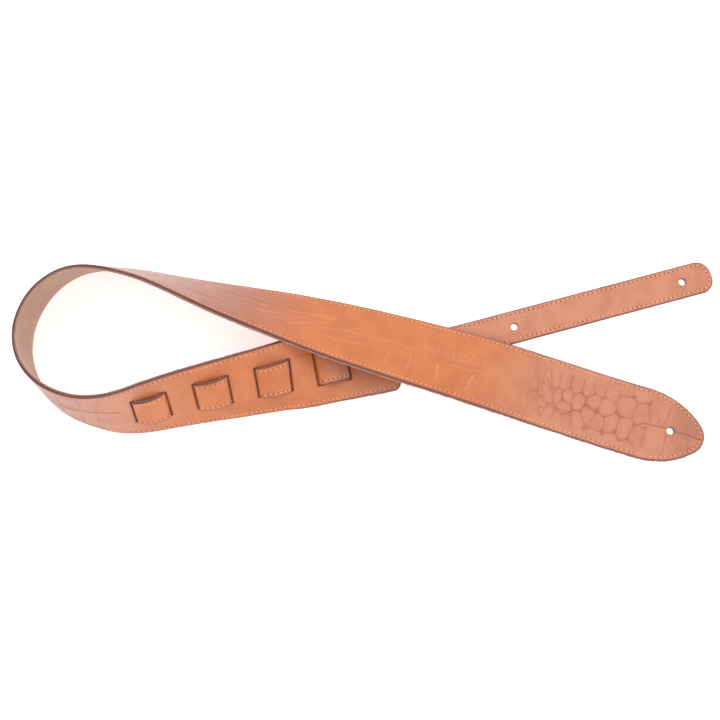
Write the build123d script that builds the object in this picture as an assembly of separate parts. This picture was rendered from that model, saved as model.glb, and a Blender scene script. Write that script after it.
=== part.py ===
from build123d import *
import math
import os

# A lined leather guitar strap, lying on a flat surface in one closed loop.
# Millimetres and degrees. The surface is Z = 0 and the strap's long way is X.
# The main strap starts at its pointed front end on the right, runs left, turns on
# its edge through the loop and comes back under itself. The narrow tail strap is
# woven through the slots near the main strap's rear end and runs on to the right.
# Places along a strap are measured on its centre line from its own first end.

# ---- leather ---------------------------------------------------------------
MAIN_LENGTH = 1016.0
MAIN_WIDTH = 64.0
MAIN_LINING = 1.6
MAIN_FACE = 2.0
TAIL_WIDTH = 30.0
TAIL_FREE = 298.5          # from the main strap's rear end to the tail's tip
TAIL_TUCK = 15.0           # hidden beyond the first slot
TAIL_LINING = 1.2
TAIL_FACE = 1.6
FRONT_POINT = 54.0         # how long the front end takes to reach full width
FRONT_TIP_RADIUS = 17.0
REAR_CORNER = 8.0
TAIL_CORNER = 12.5

# ---- button holes ----------------------------------------------------------
HOLE = 6.5
FRONT_HOLE_AT = 30.0       # from the front tip
TAIL_HOLE_AT = 28.0        # from the tail's tip
TAIL_HOLE_PITCH = 160.0

# ---- weave -----------------------------------------------------------------
WINDOWS = 4
WINDOW = 26.5              # between the two slots the tail shows through
BAND = 27.0                # of main strap over the hidden tail
REAR_MARGIN = 45.0         # last slot to the main strap's rear end
SLOT = 5.5
WEAVE_CLEAR = 0.3
SLOT_END_CLEAR = 0.8
RAMP = 65.0                # slope of the tail inside a slot
ARCH = 2.4                 # rise of the tail in the middle of a window

# ---- stitching -------------------------------------------------------------
SEAM_INSET = 3.0
THREAD = 0.8
THREAD_DEEP = 0.4
THREAD_PROUD = 0.1

# ---- the way it lies -------------------------------------------------------
# Each pair is a share of the main strap's length, then an angle.
FRONT_TIP = (288.0, -74.2)
HEADING = (
    (0.00, 162.5), (0.07, 162.5), (0.24, 164.5), (0.36, 166.0),
    (0.465, 162.0), (0.535, 174.0), (0.585, 222.0), (0.635, 266.0),
    (0.685, 314.0), (0.735, 351.0), (0.785, 375.5), (0.84, 373.5),
    (0.92, 375.5), (0.96, 371.0), (1.00, 371.0),
)
BANK = (
    (0.00, 0.0), (0.13, 0.0), (0.22, 9.0), (0.32, 22.5), (0.42, 47.0),
    (0.50, 67.0), (0.56, 74.0), (0.62, 83.0), (0.67, 87.0), (0.72, 82.0),
    (0.78, 64.0), (0.84, 52.0), (0.895, 38.0), (0.93, 15.0), (0.96, 3.0),
    (0.98, 0.0), (1.00, 0.0),
)
CROSSING = (0.07, 0.20, 0.38, 0.50)    # front strand starts rising, up, falls, down
REAR_RISE = (0.89, 0.96)               # rear end climbs onto the tail
FRONT_FLAT = 0.066                     # dead flat and straight up to here
REAR_FLAT = 0.982                      # dead flat and straight from here
TAIL_HEADING = 375.4
TAIL_BEND = 100.0                      # the free tail takes this long to turn to it
STATION = 11.0

MAIN_THICK = MAIN_LINING + MAIN_FACE
TAIL_THICK = TAIL_LINING + TAIL_FACE
CROSSING_LIFT = MAIN_THICK + TAIL_THICK + 2.6
REAR_LIFT = TAIL_THICK + WEAVE_CLEAR
TAIL_UNDER = -WEAVE_CLEAR - TAIL_THICK / 2
TAIL_OVER = MAIN_THICK + WEAVE_CLEAR + TAIL_THICK / 2


# ---- curves ----------------------------------------------------------------
def ease(x):
    x = min(max(x, 0.0), 1.0)
    return x * x * (3 - 2 * x)


def smooth_through(points, x):
    """A smooth curve through the points, read at x, that never overshoots them."""
    last = len(points) - 2
    i = 0
    while i < last and x >= points[i + 1][0]:
        i += 1

    def rise(k):
        if k < 0 or k > last:
            return None
        return (points[k + 1][1] - points[k][1]) / (points[k + 1][0] - points[k][0])

    def slope(k):
        before, after = rise(k - 1), rise(k)
        if before is None or after is None:
            return before if after is None else after
        if before * after <= 0:
            return 0.0
        return 2 * before * after / (before + after)

    (xa, ya), (xb, yb) = points[i], points[i + 1]
    h = xb - xa
    t = min(max((x - xa) / h, 0.0), 1.0)
    start = (1 + 2 * t) * (1 - t) ** 2 * ya + t * (1 - t) ** 2 * h * slope(i)
    end = t * t * (3 - 2 * t) * yb + t * t * (t - 1) * h * slope(i + 1)
    return start + end


def heading(s):
    return math.radians(smooth_through(HEADING, s / MAIN_LENGTH))


def bank(s):
    return math.radians(max(smooth_through(BANK, s / MAIN_LENGTH), 0.0))


def height(s):
    """The centre of the underside. The lower edge rests on the surface or on what is under it."""
    x = s / MAIN_LENGTH
    up, top, fall, down = CROSSING
    crossing = ease((x - up) / (top - up)) * (1 - ease((x - fall) / (down - fall)))
    rear = ease((x - REAR_RISE[0]) / (REAR_RISE[1] - REAR_RISE[0]))
    lift = CROSSING_LIFT * crossing + REAR_LIFT * rear
    return MAIN_WIDTH / 2 * math.sin(bank(s)) + lift


def walk_main():
    """Centre of the main strap's underside at every step of its length."""
    steps = 1016
    step = MAIN_LENGTH / steps
    x, y = FRONT_TIP
    places = []
    for i in range(steps + 1):
        s = i * step
        places.append(Vector(x, y, height(s)))
        turn = heading(s + step / 2)
        rise = (height(s + step) - height(s)) / step
        level = math.sqrt(1 - rise * rise)
        x += math.cos(turn) * level * step
        y += math.sin(turn) * level * step
    return places


MAIN_WALK = walk_main()


def main_place(s):
    """The point, along, across and out-of-face directions of the main strap at s."""
    at = s / MAIN_LENGTH * (len(MAIN_WALK) - 1)
    i = min(int(at), len(MAIN_WALK) - 2)
    a, b = MAIN_WALK[i], MAIN_WALK[i + 1]
    point = a + (b - a) * (at - i)
    inward = Vector(-math.sin(heading(s)), math.cos(heading(s)), 0)
    up = Vector(0, 0, 1)
    along = (b - a).normalized()
    across = inward * math.cos(bank(s)) + up * math.sin(bank(s))
    across = (across - along * along.dot(across)).normalized()
    return point, along, across, along.cross(across)


# ---- strips ----------------------------------------------------------------
def loft_strip(stations, profile):
    """A strip through stations of (point, across, out), with a (across, out) profile."""
    wires = []
    for point, across, out in stations:
        corners = [point + across * u + out * n for u, n in profile]
        wires.append(Wire.make_polygon(corners, close=True))
    return Solid.make_loft(wires, ruled=True)


def block(a, b, low, high):
    return [(a, low), (b, low), (b, high), (a, high)]


def ply_profile(width, low, high, channel_up):
    """A rectangle with the two stitch channels sunk in its top or its bottom."""
    a = width / 2
    b = a - SEAM_INSET
    c = b - THREAD
    if channel_up:
        deep = high - THREAD_DEEP
        top = [(a, high), (b, high), (b, deep), (c, deep), (c, high)]
        top += [(-c, high), (-c, deep), (-b, deep), (-b, high), (-a, high)]
        return [(-a, low), (a, low)] + top
    deep = low + THREAD_DEEP
    bottom = [(-a, low), (-b, low), (-b, deep), (-c, deep), (-c, low)]
    bottom += [(c, low), (c, deep), (b, deep), (b, low), (a, low)]
    return bottom + [(a, high), (-a, high)]


def thread_runs(stations, width, low, high):
    b = width / 2 - SEAM_INSET
    c = b - THREAD
    left = loft_strip(stations, block(-b, -c, low, high))
    right = loft_strip(stations, block(c, b, low, high))
    return [left, right]


def laid(sketch, plane, low, high):
    """A flat outline stood up between two depths of a strap's own plane."""
    return extrude(plane.offset(low) * sketch, high - low)


def seam_band(outline, keep):
    """The closed stitch channel inside an outline, trimmed to the part that is kept."""
    outer = offset(outline, -SEAM_INSET, kind=Kind.INTERSECTION)
    inner = offset(outline, -SEAM_INSET - THREAD, kind=Kind.INTERSECTION)
    return (outer - inner) & keep


def flat_end(outline, keep, plane, low, high, channel_up):
    """The flat end of one ply, with its stitch channel."""
    ply = laid(outline & keep, plane, low, high)
    if channel_up:
        return ply - laid(seam_band(outline, keep), plane, high - THREAD_DEEP, high + 1)
    return ply - laid(seam_band(outline, keep), plane, low - 1, low + THREAD_DEEP)


def one_solid(pieces):
    whole = pieces[0].fuse(*pieces[1:])
    solids = whole.solids() if hasattr(whole, "solids") else whole
    solids = sorted(solids, key=lambda solid: -solid.volume)
    return solids[0]


# ---- main strap ------------------------------------------------------------
def slot_places():
    """Centre of every slot, from the first one the tail comes up through."""
    last = MAIN_LENGTH - REAR_MARGIN
    pitch = WINDOW + BAND
    places = []
    for k in range(WINDOWS):
        far = last - (WINDOWS - 1 - k) * pitch
        places += [far - WINDOW, far]
    return places


def front_plane():
    point, along, across, out = main_place(0)
    return Plane(origin=point, x_dir=along, z_dir=out)


def rear_plane():
    point, along, across, out = main_place(MAIN_LENGTH)
    return Plane(origin=point, x_dir=-along, z_dir=out)


def front_outline():
    """Straight sides, a long arc on each side and a round tip, all tangent."""
    a, b, r = FRONT_POINT, MAIN_WIDTH / 2, FRONT_TIP_RADIUS
    side = ((a - r) ** 2 + b * b - r * r) / (2 * (b - r))
    lean = math.atan2(side - b, a - r)
    half = (math.pi / 2 + math.pi - lean) / 2
    joint = (a - side * math.cos(lean), b - side + side * math.sin(lean))
    middle = (a + side * math.cos(half), b - side + side * math.sin(half))
    far = 2 * FRONT_FLAT * MAIN_LENGTH
    edges = [
        ThreePointArc((a, b), middle, joint),
        ThreePointArc(joint, (0, 0), (joint[0], -joint[1])),
        ThreePointArc((joint[0], -joint[1]), (middle[0], -middle[1]), (a, -b)),
        Polyline((a, -b), (far, -b), (far, b), (a, b)),
    ]
    return make_face(edges)


def rear_outline():
    length = 4 * (1 - REAR_FLAT) * MAIN_LENGTH
    return Pos(length / 2, 0) * RectangleRounded(length, MAIN_WIDTH, REAR_CORNER)


def keep_first(length, width):
    return Pos(length / 2, 0) * Rectangle(length, width + 2)


def main_stations():
    first = FRONT_FLAT * MAIN_LENGTH
    last = REAR_FLAT * MAIN_LENGTH
    count = math.ceil((last - first) / STATION)
    stations = []
    for i in range(count + 1):
        point, along, across, out = main_place(first + (last - first) * i / count)
        stations.append((point, across, out))
    return stations


def front_hole():
    plane = front_plane()
    return plane * Pos(FRONT_HOLE_AT, 0, 0) * Cylinder(HOLE / 2, 40)


def slot_cut(s):
    point, along, across, out = main_place(s)
    plane = Plane(origin=point, x_dir=along, z_dir=out)
    length = TAIL_WIDTH + 2 * SLOT_END_CLEAR
    outline = RectangleRounded(SLOT, length, SLOT / 4)
    return laid(outline, plane, -4, MAIN_THICK + 4)


def main_ply(low, high, channel_up):
    front_keep = keep_first(FRONT_FLAT * MAIN_LENGTH, MAIN_WIDTH)
    rear_keep = keep_first((1 - REAR_FLAT) * MAIN_LENGTH, MAIN_WIDTH)
    middle = loft_strip(main_stations(), ply_profile(MAIN_WIDTH, low, high, channel_up))
    front = flat_end(front_outline(), front_keep, front_plane(), low, high, channel_up)
    rear = flat_end(rear_outline(), rear_keep, rear_plane(), low, high, channel_up)
    ply = one_solid([middle, front.solid(), rear.solid()])
    cuts = [slot_cut(s).solid() for s in slot_places()] + [front_hole().solid()]
    return ply.cut(*cuts)


def main_thread(low, high):
    front_keep = keep_first(FRONT_FLAT * MAIN_LENGTH, MAIN_WIDTH)
    rear_keep = keep_first((1 - REAR_FLAT) * MAIN_LENGTH, MAIN_WIDTH)
    front = laid(seam_band(front_outline(), front_keep), front_plane(), low, high)
    rear = laid(seam_band(rear_outline(), rear_keep), rear_plane(), low, high)
    runs = thread_runs(main_stations(), MAIN_WIDTH, low, high)
    return one_solid(runs + [front.solid(), rear.solid()])


# ---- tail strap ------------------------------------------------------------
def woven_points():
    """Where the tail's mid-thickness goes in the weave, as (along main, out of main)."""
    reach = (TAIL_OVER - TAIL_UNDER) / 2 / math.tan(math.radians(RAMP))
    slots = slot_places()
    points = [(slots[0] - TAIL_TUCK, TAIL_UNDER)]
    for start, end in zip(slots[0::2], slots[1::2]):
        points += [(start - reach, TAIL_UNDER), (start + reach, TAIL_OVER)]
        inner = end - start - 2 * reach
        for share in (0.2, 0.4, 0.6, 0.8):
            rise = ARCH * math.sin(math.pi * share)
            points.append((start + reach + share * inner, TAIL_OVER + rise))
        points += [(end - reach, TAIL_OVER), (end + reach, TAIL_UNDER)]
        points.append((end + BAND / 2, TAIL_UNDER))
    points.pop()
    last = points[-1][0]
    rest = REAR_FLAT * MAIN_LENGTH - last
    points += [(last + rest / 2, TAIL_UNDER), (last + rest, TAIL_UNDER)]
    return points


def free_walk():
    """The free tail on the surface, from the end of the weave to where it is straight."""
    start = REAR_FLAT * MAIN_LENGTH
    point, along, across, out = main_place(start)
    point = point + out * TAIL_UNDER
    first = heading(MAIN_LENGTH)
    turn = math.radians(TAIL_HEADING) - first
    steps = 12
    step = TAIL_BEND / steps
    stations = []
    for i in range(1, steps + 1):
        middle = first + turn * ease((i - 0.5) / steps)
        point = point + Vector(math.cos(middle), math.sin(middle), 0) * step
        here = first + turn * ease(i / steps)
        stations.append((point, Vector(-math.sin(here), math.cos(here), 0)))
    return stations


def tail_stations():
    """Stations of (mid-thickness point, across, out), mitred at every bend."""
    path = []
    for s, n in woven_points():
        point, along, across, out = main_place(s)
        path.append((point + out * n, across))
    path += free_walk()
    stations = []
    for i, (point, across) in enumerate(path):
        before = path[max(i - 1, 0)][0]
        after = path[min(i + 1, len(path) - 1)][0]
        arriving = (point - before).normalized() if i else (after - point).normalized()
        leaving = (after - point).normalized() if after != point else arriving
        out_in = arriving.cross(across).normalized()
        out_on = leaving.cross(across).normalized()
        out = (out_in + out_on).normalized()
        stations.append((point, across, out * (1 / out.dot(out_in))))
    return stations


def tail_straight():
    """How much of the tail, measured from its tip, is one flat straight piece."""
    return TAIL_FREE + (1 - REAR_FLAT) * MAIN_LENGTH - TAIL_BEND


def tail_plane():
    """Plane of the tail's mid-thickness, with its origin at the tip and X back along it."""
    point, across = free_walk()[-1]
    along = across.cross(Vector(0, 0, 1))
    tip = point + along * tail_straight()
    return Plane(origin=tip, x_dir=-along, z_dir=(0, 0, 1))


def tail_outline():
    length = 2 * tail_straight()
    return Pos(length / 2, 0) * RectangleRounded(length, TAIL_WIDTH, TAIL_CORNER)


def tail_holes():
    holes = []
    for at in (TAIL_HOLE_AT, TAIL_HOLE_AT + TAIL_HOLE_PITCH):
        holes.append((tail_plane() * Pos(at, 0, 0) * Cylinder(HOLE / 2, 20)).solid())
    return holes


def tail_ply(low, high, channel_up):
    keep = keep_first(tail_straight(), TAIL_WIDTH)
    woven = loft_strip(tail_stations(), ply_profile(TAIL_WIDTH, low, high, channel_up))
    end = flat_end(tail_outline(), keep, tail_plane(), low, high, channel_up)
    return one_solid([woven, end.solid()]).cut(*tail_holes())


def tail_thread(low, high):
    keep = keep_first(tail_straight(), TAIL_WIDTH)
    end = laid(seam_band(tail_outline(), keep), tail_plane(), low, high)
    runs = thread_runs(tail_stations(), TAIL_WIDTH, low, high)
    return one_solid(runs + [end.solid()])


# ---- all pieces ------------------------------------------------------------
def build():
    main_top = MAIN_THICK
    tail_low = -TAIL_THICK / 2
    tail_seam = tail_low + TAIL_LINING
    tail_top = TAIL_THICK / 2
    return {
        "main_lining": main_ply(0, MAIN_LINING, False),
        "main_face": main_ply(MAIN_LINING, main_top, True),
        "main_needle_thread": main_thread(main_top - THREAD_DEEP, main_top + THREAD_PROUD),
        "main_bobbin_thread": main_thread(0, THREAD_DEEP),
        "tail_lining": tail_ply(tail_low, tail_seam, False),
        "tail_face": tail_ply(tail_seam, tail_top, True),
        "tail_needle_thread": tail_thread(tail_top - THREAD_DEEP, tail_top + THREAD_PROUD),
        "tail_bobbin_thread": tail_thread(tail_low, tail_low + THREAD_DEEP),
    }


os.makedirs("parts", exist_ok=True)
for name, piece in build().items():
    solid = piece.solids()[0] if hasattr(piece, "solids") else piece
    solid.label = name
    export_step(solid, f"parts/{name}.step")
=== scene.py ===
import math

import bpy
import numpy as np
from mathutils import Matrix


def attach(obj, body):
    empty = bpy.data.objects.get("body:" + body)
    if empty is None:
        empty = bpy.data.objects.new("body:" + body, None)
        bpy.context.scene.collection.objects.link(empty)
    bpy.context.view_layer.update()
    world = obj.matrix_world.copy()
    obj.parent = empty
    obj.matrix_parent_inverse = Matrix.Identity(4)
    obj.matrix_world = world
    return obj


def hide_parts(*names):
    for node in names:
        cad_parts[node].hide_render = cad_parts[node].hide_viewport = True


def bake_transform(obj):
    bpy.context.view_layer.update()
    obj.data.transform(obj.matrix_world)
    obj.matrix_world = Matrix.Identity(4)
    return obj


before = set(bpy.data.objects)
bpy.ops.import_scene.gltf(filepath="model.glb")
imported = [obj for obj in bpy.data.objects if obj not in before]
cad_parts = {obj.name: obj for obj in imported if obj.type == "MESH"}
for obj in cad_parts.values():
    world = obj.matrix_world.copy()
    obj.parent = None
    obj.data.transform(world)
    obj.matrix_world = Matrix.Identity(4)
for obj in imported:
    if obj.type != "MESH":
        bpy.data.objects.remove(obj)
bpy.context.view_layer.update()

# A lined leather guitar strap laid in one closed loop. Metres and degrees.
# Every piece is drawn from the same straps as the CAD parts: a place on a strap is
# (s, u, n), which is along it from its own first end, across it from its centre line
# towards the inner edge of the loop, and out of its face from its underside.

# ---- sizes, as in part.py --------------------------------------------------
MAIN_LENGTH = 1.016
MAIN_WIDTH = 0.064
MAIN_LINING = 0.0016
MAIN_FACE = 0.0020
TAIL_WIDTH = 0.030
TAIL_FREE = 0.2985
TAIL_TUCK = 0.015
TAIL_LINING = 0.0012
TAIL_FACE = 0.0016
FRONT_POINT = 0.054
FRONT_TIP_RADIUS = 0.017
REAR_CORNER = 0.008
TAIL_CORNER = 0.0125
HOLE = 0.0065
FRONT_HOLE_AT = 0.030
TAIL_HOLE_AT = 0.028
TAIL_HOLE_PITCH = 0.160
WINDOWS = 4
WINDOW = 0.0265
BAND = 0.027
REAR_MARGIN = 0.045
SLOT = 0.0055
WEAVE_CLEAR = 0.0003
RAMP = 65.0
ARCH = 0.0024

# The drawn seam sits a little further in than the 3.0 mm of part.py.
SEAM_INSET = 0.0034

# The drawn slots are soft leather that closes round the tail a little.
SLOT_DRAWN = SLOT - 0.0012
SLOT_DRAWN_HALF = TAIL_WIDTH / 2 - 0.0003

FRONT_TIP = (0.288, -0.0742)
HEADING = (
    (0.00, 162.5), (0.07, 162.5), (0.24, 164.5), (0.36, 166.0),
    (0.465, 162.0), (0.535, 174.0), (0.585, 222.0), (0.635, 266.0),
    (0.685, 314.0), (0.735, 351.0), (0.785, 375.5), (0.84, 373.5),
    (0.92, 375.5), (0.96, 371.0), (1.00, 371.0),
)
BANK = (
    (0.00, 0.0), (0.13, 0.0), (0.22, 9.0), (0.32, 22.5), (0.42, 47.0),
    (0.50, 67.0), (0.56, 74.0), (0.62, 83.0), (0.67, 87.0), (0.72, 82.0),
    (0.78, 64.0), (0.84, 52.0), (0.895, 38.0), (0.93, 15.0), (0.96, 3.0),
    (0.98, 0.0), (1.00, 0.0),
)
CROSSING = (0.07, 0.20, 0.38, 0.50)
REAR_RISE = (0.89, 0.96)
REAR_FLAT = 0.982
TAIL_HEADING = 375.4
TAIL_BEND = 0.100

MAIN_THICK = MAIN_LINING + MAIN_FACE
TAIL_THICK = TAIL_LINING + TAIL_FACE
CROSSING_LIFT = MAIN_THICK + TAIL_THICK + 0.0026
REAR_LIFT = TAIL_THICK + WEAVE_CLEAR
TAIL_UNDER = -WEAVE_CLEAR - TAIL_THICK / 2
TAIL_OVER = MAIN_THICK + WEAVE_CLEAR + TAIL_THICK / 2

# ---- stitches --------------------------------------------------------------
STITCH_PITCH = 0.0043
STITCH_LENGTH = 0.0032
THREAD_WIDTH = 0.00085
THREAD_HEIGHT = 0.00042
STITCH_SUNK = 0.00016      # below the leather's face
HOLE_SUNK = 0.00014
UNDER_STITCH = 0.0002      # above the lining's underside

# ---- leather edges ---------------------------------------------------------
PLY_GAP = 0.00012          # between the two plies, so that neither shows through
MAIN_EDGE_ROUND = 0.0011
TAIL_EDGE_ROUND = 0.0009
HOLE_ROUND = 0.0007
SLOT_ROUND = 0.0009
CREASE_DEPTH = 0.00062
SEAM_DEPTH = 0.00022
CROC_END = 0.230           # no scales beyond here
SCALE_SQUASH = 0.80        # scales are this much longer than they are wide
EDGE_COLUMNS = 0.0052      # the strap's edge has its own closer columns
TAIL_ORANGE_END = 0.235    # the woven stretch is more orange than the free tail, whose pinker look is partly painted sheen


# ---- camera ----------------------------------------------------------------
def make_camera():
    elevation, distance, aim = math.radians(75), 0.93, (-0.012, -0.0002, 0.0)
    data = bpy.data.cameras.new("camera")
    data.lens = 52.05
    data.sensor_width = 36
    camera = bpy.data.objects.new("camera", data)
    bpy.context.scene.collection.objects.link(camera)
    camera.location = (
        aim[0],
        aim[1] - distance * math.cos(elevation),
        aim[2] + distance * math.sin(elevation),
    )
    camera.rotation_euler = (math.pi / 2 - elevation, 0, 0)
    bpy.context.scene.camera = camera


# ---- curves and straps -----------------------------------------------------
def ease(x):
    x = np.clip(x, 0, 1)
    return x * x * (3 - 2 * x)


def smooth_through(points, x):
    """A smooth curve through the points, read at x, that never overshoots them."""
    xs, ys = np.array(points, float).T
    rise = np.diff(ys) / np.diff(xs)
    before, after = rise[:-1], rise[1:]
    same = before * after > 0
    inner = np.where(same, 2 * before * after / np.where(same, before + after, 1), 0)
    slope = np.concatenate([rise[:1], inner, rise[-1:]])
    i = np.clip(np.searchsorted(xs, x, side="right") - 1, 0, len(xs) - 2)
    h = xs[i + 1] - xs[i]
    t = np.clip((x - xs[i]) / h, 0, 1)
    start = (1 + 2 * t) * (1 - t) ** 2 * ys[i] + t * (1 - t) ** 2 * h * slope[i]
    return start + t * t * (3 - 2 * t) * ys[i + 1] + t * t * (t - 1) * h * slope[i + 1]


def unit(v):
    return v / np.linalg.norm(v, axis=-1, keepdims=True)


class Strap:
    """A strap's centre line, which way it faces, and how to find a place on it."""

    def __init__(self, run, points, across):
        self.run = run
        self.points = points
        along = unit(np.gradient(points, run, axis=0))
        self.across = unit(across - along * np.sum(along * across, axis=1, keepdims=True))
        self.out = np.cross(along, self.across)
        self.length = run[-1]

    def read(self, table, s):
        return np.stack([np.interp(s, self.run, table[:, k]) for k in range(3)], axis=-1)

    def place(self, s, u, n):
        s, u, n = np.broadcast_arrays(s, u, n)
        side = self.read(self.across, s) * u[..., None]
        return self.read(self.points, s) + side + self.read(self.out, s) * n[..., None]


def lay_main():
    run = np.linspace(0, MAIN_LENGTH, 1017)
    share = run / MAIN_LENGTH
    heading = np.radians(smooth_through(HEADING, share))
    bank = np.radians(np.maximum(smooth_through(BANK, share), 0))
    up, top, fall, down = CROSSING
    crossing = ease((share - up) / (top - up)) * (1 - ease((share - fall) / (down - fall)))
    rear = ease((share - REAR_RISE[0]) / (REAR_RISE[1] - REAR_RISE[0]))
    height = MAIN_WIDTH / 2 * np.sin(bank) + CROSSING_LIFT * crossing + REAR_LIFT * rear
    step = np.diff(run)
    level = np.sqrt(1 - (np.diff(height) / step) ** 2) * step
    middle = (heading[1:] + heading[:-1]) / 2
    x = FRONT_TIP[0] + np.concatenate([[0], np.cumsum(np.cos(middle) * level)])
    y = FRONT_TIP[1] + np.concatenate([[0], np.cumsum(np.sin(middle) * level)])
    inward = np.stack([-np.sin(heading), np.cos(heading), 0 * heading], axis=1)
    raised = np.sin(bank)[:, None] * np.array([0, 0, 1.0])
    across = np.cos(bank)[:, None] * inward + raised
    return Strap(run, np.stack([x, y, height], axis=1), across), heading[-1]


def slot_places():
    last = MAIN_LENGTH - REAR_MARGIN
    places = []
    for k in range(WINDOWS):
        far = last - (WINDOWS - 1 - k) * (WINDOW + BAND)
        places += [far - WINDOW, far]
    return places


def weave_points():
    """Where the tail's mid-thickness goes in the weave, as (along main, out of main)."""
    reach = (TAIL_OVER - TAIL_UNDER) / 2 / math.tan(math.radians(RAMP))
    slots = slot_places()
    points = [(slots[0] - TAIL_TUCK, TAIL_UNDER)]
    for start, end in zip(slots[0::2], slots[1::2]):
        points += [(start - reach, TAIL_UNDER), (start + reach, TAIL_OVER)]
        inner = end - start - 2 * reach
        for share in (0.2, 0.4, 0.6, 0.8):
            rise = ARCH * math.sin(math.pi * share)
            points.append((start + reach + share * inner, TAIL_OVER + rise))
        points += [(end - reach, TAIL_OVER), (end + reach, TAIL_UNDER)]
    points.append((REAR_FLAT * MAIN_LENGTH, TAIL_UNDER))
    return points


def lay_tail(main, rear_heading):
    """The tail's underside, and its places that lie at given places on the main strap."""
    weave = weave_points()
    s = np.arange(weave[0][0], weave[-1][0], 0.0004)
    s = np.append(s, weave[-1][0])
    woven = main.place(s, 0 * s, smooth_through(weave, s))
    across = main.read(main.across, s)
    turn = math.radians(TAIL_HEADING) - rear_heading
    rest = TAIL_FREE + (1 - REAR_FLAT) * MAIN_LENGTH
    t = np.arange(0.002, rest, 0.002)
    t = np.append(t, rest)
    heading = rear_heading + turn * ease(t / TAIL_BEND)
    middle = rear_heading + turn * ease((t - 0.001) / TAIL_BEND)
    step = np.diff(np.concatenate([[0], t]))[:, None]
    ahead = np.stack([np.cos(middle), np.sin(middle), 0 * t], axis=1)
    free = woven[-1] + np.cumsum(ahead * step, axis=0)
    side = np.stack([-np.sin(heading), np.cos(heading), 0 * t], axis=1)
    points = np.concatenate([woven, free])
    run = np.concatenate([[0], np.cumsum(np.linalg.norm(np.diff(points, axis=0), axis=1))])
    tail = Strap(run, points, np.concatenate([across, side]))
    tail.points = tail.points - tail.out * TAIL_THICK / 2
    return tail, lambda at: np.interp(at, s, run[: len(s)])


# ---- outlines --------------------------------------------------------------
def front_arcs():
    """The front end's side arc radius, and the lean of the line where the arcs meet."""
    a, b, r = FRONT_POINT, MAIN_WIDTH / 2, FRONT_TIP_RADIUS
    side = ((a - r) ** 2 + b * b - r * r) / (2 * (b - r))
    return side, math.atan2(side - b, a - r)


def main_half(s, inset=0.0):
    """Half the main strap's width at s, inside a line inset from its edge."""
    a, b, r = FRONT_POINT, MAIN_WIDTH / 2, FRONT_TIP_RADIUS
    side, lean = front_arcs()
    joint = r - (r - inset) * math.cos(lean)
    tip = np.sqrt(np.maximum((r - inset) ** 2 - (r - s) ** 2, 0))
    flank = b - side + np.sqrt(np.maximum((side - inset) ** 2 - (a - s) ** 2, 0))
    front = np.where(s < joint, tip, np.where(s < a, flank, b - inset))
    left = np.clip(MAIN_LENGTH - s, inset, REAR_CORNER)
    round_off = np.sqrt((REAR_CORNER - inset) ** 2 - (REAR_CORNER - left) ** 2)
    return np.minimum(front, b - REAR_CORNER + round_off)


def main_inside(s, u):
    """How far a place on the main strap is inside its outline."""
    a, b, r = FRONT_POINT, MAIN_WIDTH / 2, FRONT_TIP_RADIUS
    side, lean = front_arcs()
    u = np.abs(u)
    tip = r - np.hypot(s - r, u)
    flank = side - np.hypot(s - a, u - (b - side))
    in_tip = np.arctan2(u, r - s) < lean
    front = np.where(in_tip, tip, np.where(s < a, flank, b - u))
    return np.minimum(front, corner_inside(MAIN_LENGTH - s, u, b, REAR_CORNER))


def corner_inside(left, u, half, corner):
    """How far a place is inside a square end with round corners."""
    u = np.abs(u)
    straight = np.minimum(left, half - u)
    in_corner = (left < corner) & (u > half - corner)
    rounded = corner - np.hypot(corner - left, u - (half - corner))
    return np.where(in_corner, rounded, straight)


def tail_half(tail, s, inset=0.0):
    left = np.clip(tail.length - s, inset, TAIL_CORNER)
    round_off = np.sqrt((TAIL_CORNER - inset) ** 2 - (TAIL_CORNER - left) ** 2)
    return TAIL_WIDTH / 2 - TAIL_CORNER + round_off


def tail_inside(tail, s, u):
    end = corner_inside(tail.length - s, u, TAIL_WIDTH / 2, TAIL_CORNER)
    return np.minimum(end, s)


# ---- leather relief --------------------------------------------------------
def lattice_noise(x, y, cell, seed):
    """Smooth noise from -1 to 1 with features about one cell across."""
    grid = np.random.default_rng(seed).uniform(-1, 1, (64, 64))
    x, y = x / cell, y / cell
    i, j = np.floor(x).astype(int), np.floor(y).astype(int)
    a, b = ease(x - i), ease(y - j)
    near = grid[i % 64, j % 64] * (1 - a) + grid[(i + 1) % 64, j % 64] * a
    far = grid[i % 64, (j + 1) % 64] * (1 - a) + grid[(i + 1) % 64, (j + 1) % 64] * a
    return near * (1 - b) + far * b


def band(x, start, end, soft):
    """1 between start and end, easing to 0 over soft outside them."""
    return ease((x - start) / soft + 1) * ease((end - x) / soft + 1)


# Centres of the embossed scales in millimetres, (along, across), row by row.
SCALES = (
    (43, -14), (60, -25), (74, -26), (87, -19), (98, -18), (108, -14), (118, -14),
    (130, -14),
    (139, -14), (145, -12), (152, -12), (160, -15), (168, -17), (177, -14),
    (186, -13),
    (56, -8), (72, -11), (89, -3), (101, -5), (114, -1), (124, -2), (133, 2), (141, 5),
    (147, -2), (157, -3), (162, 2), (167, -6), (174, 3), (180, -3), (188, -3), (193, 4),
    (57, 16), (70, 12), (82, 10), (94, 12), (103, 8), (112, 15), (120, 19), (126, 8),
    (128, 20), (138, 15), (144, 12), (151, 16), (156, 8), (161, 12), (170, 11), (176, 16),
    (184, 12), (190, 18), (42, 12), (23, 8), (64, 27), (79, 24), (94, 25), (27, -17),
)

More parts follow.
